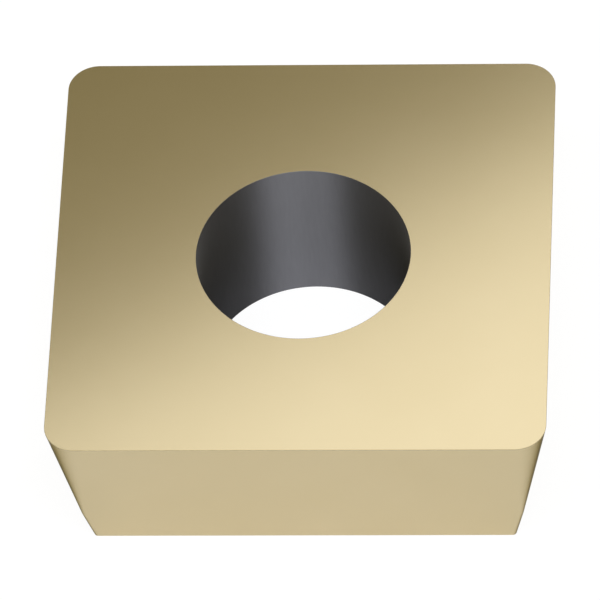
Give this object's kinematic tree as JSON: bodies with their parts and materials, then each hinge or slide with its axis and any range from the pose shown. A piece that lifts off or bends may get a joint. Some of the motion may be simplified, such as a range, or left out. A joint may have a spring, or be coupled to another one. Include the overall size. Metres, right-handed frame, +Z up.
{
  "type": "carbide cutting insert",
  "caption": "Square indexable carbide cutting insert with a gold coating, flat top, leaning flanks, rounded corners and a plain clamping hole.",
  "frame": {"origin": "middle of the clamping hole on the seat, the small flat face that the insert stands on", "axes": "+Z up along the hole to the cutting face; X and Y square to the flanks"},
  "size_m": [0.0126, 0.0126, 0.0048],
  "materials": {
    "gold_coating": "satin"
  },
  "bodies": {
    "root": {"insert_body": "gold_coating"}
  },
  "joints": []
}
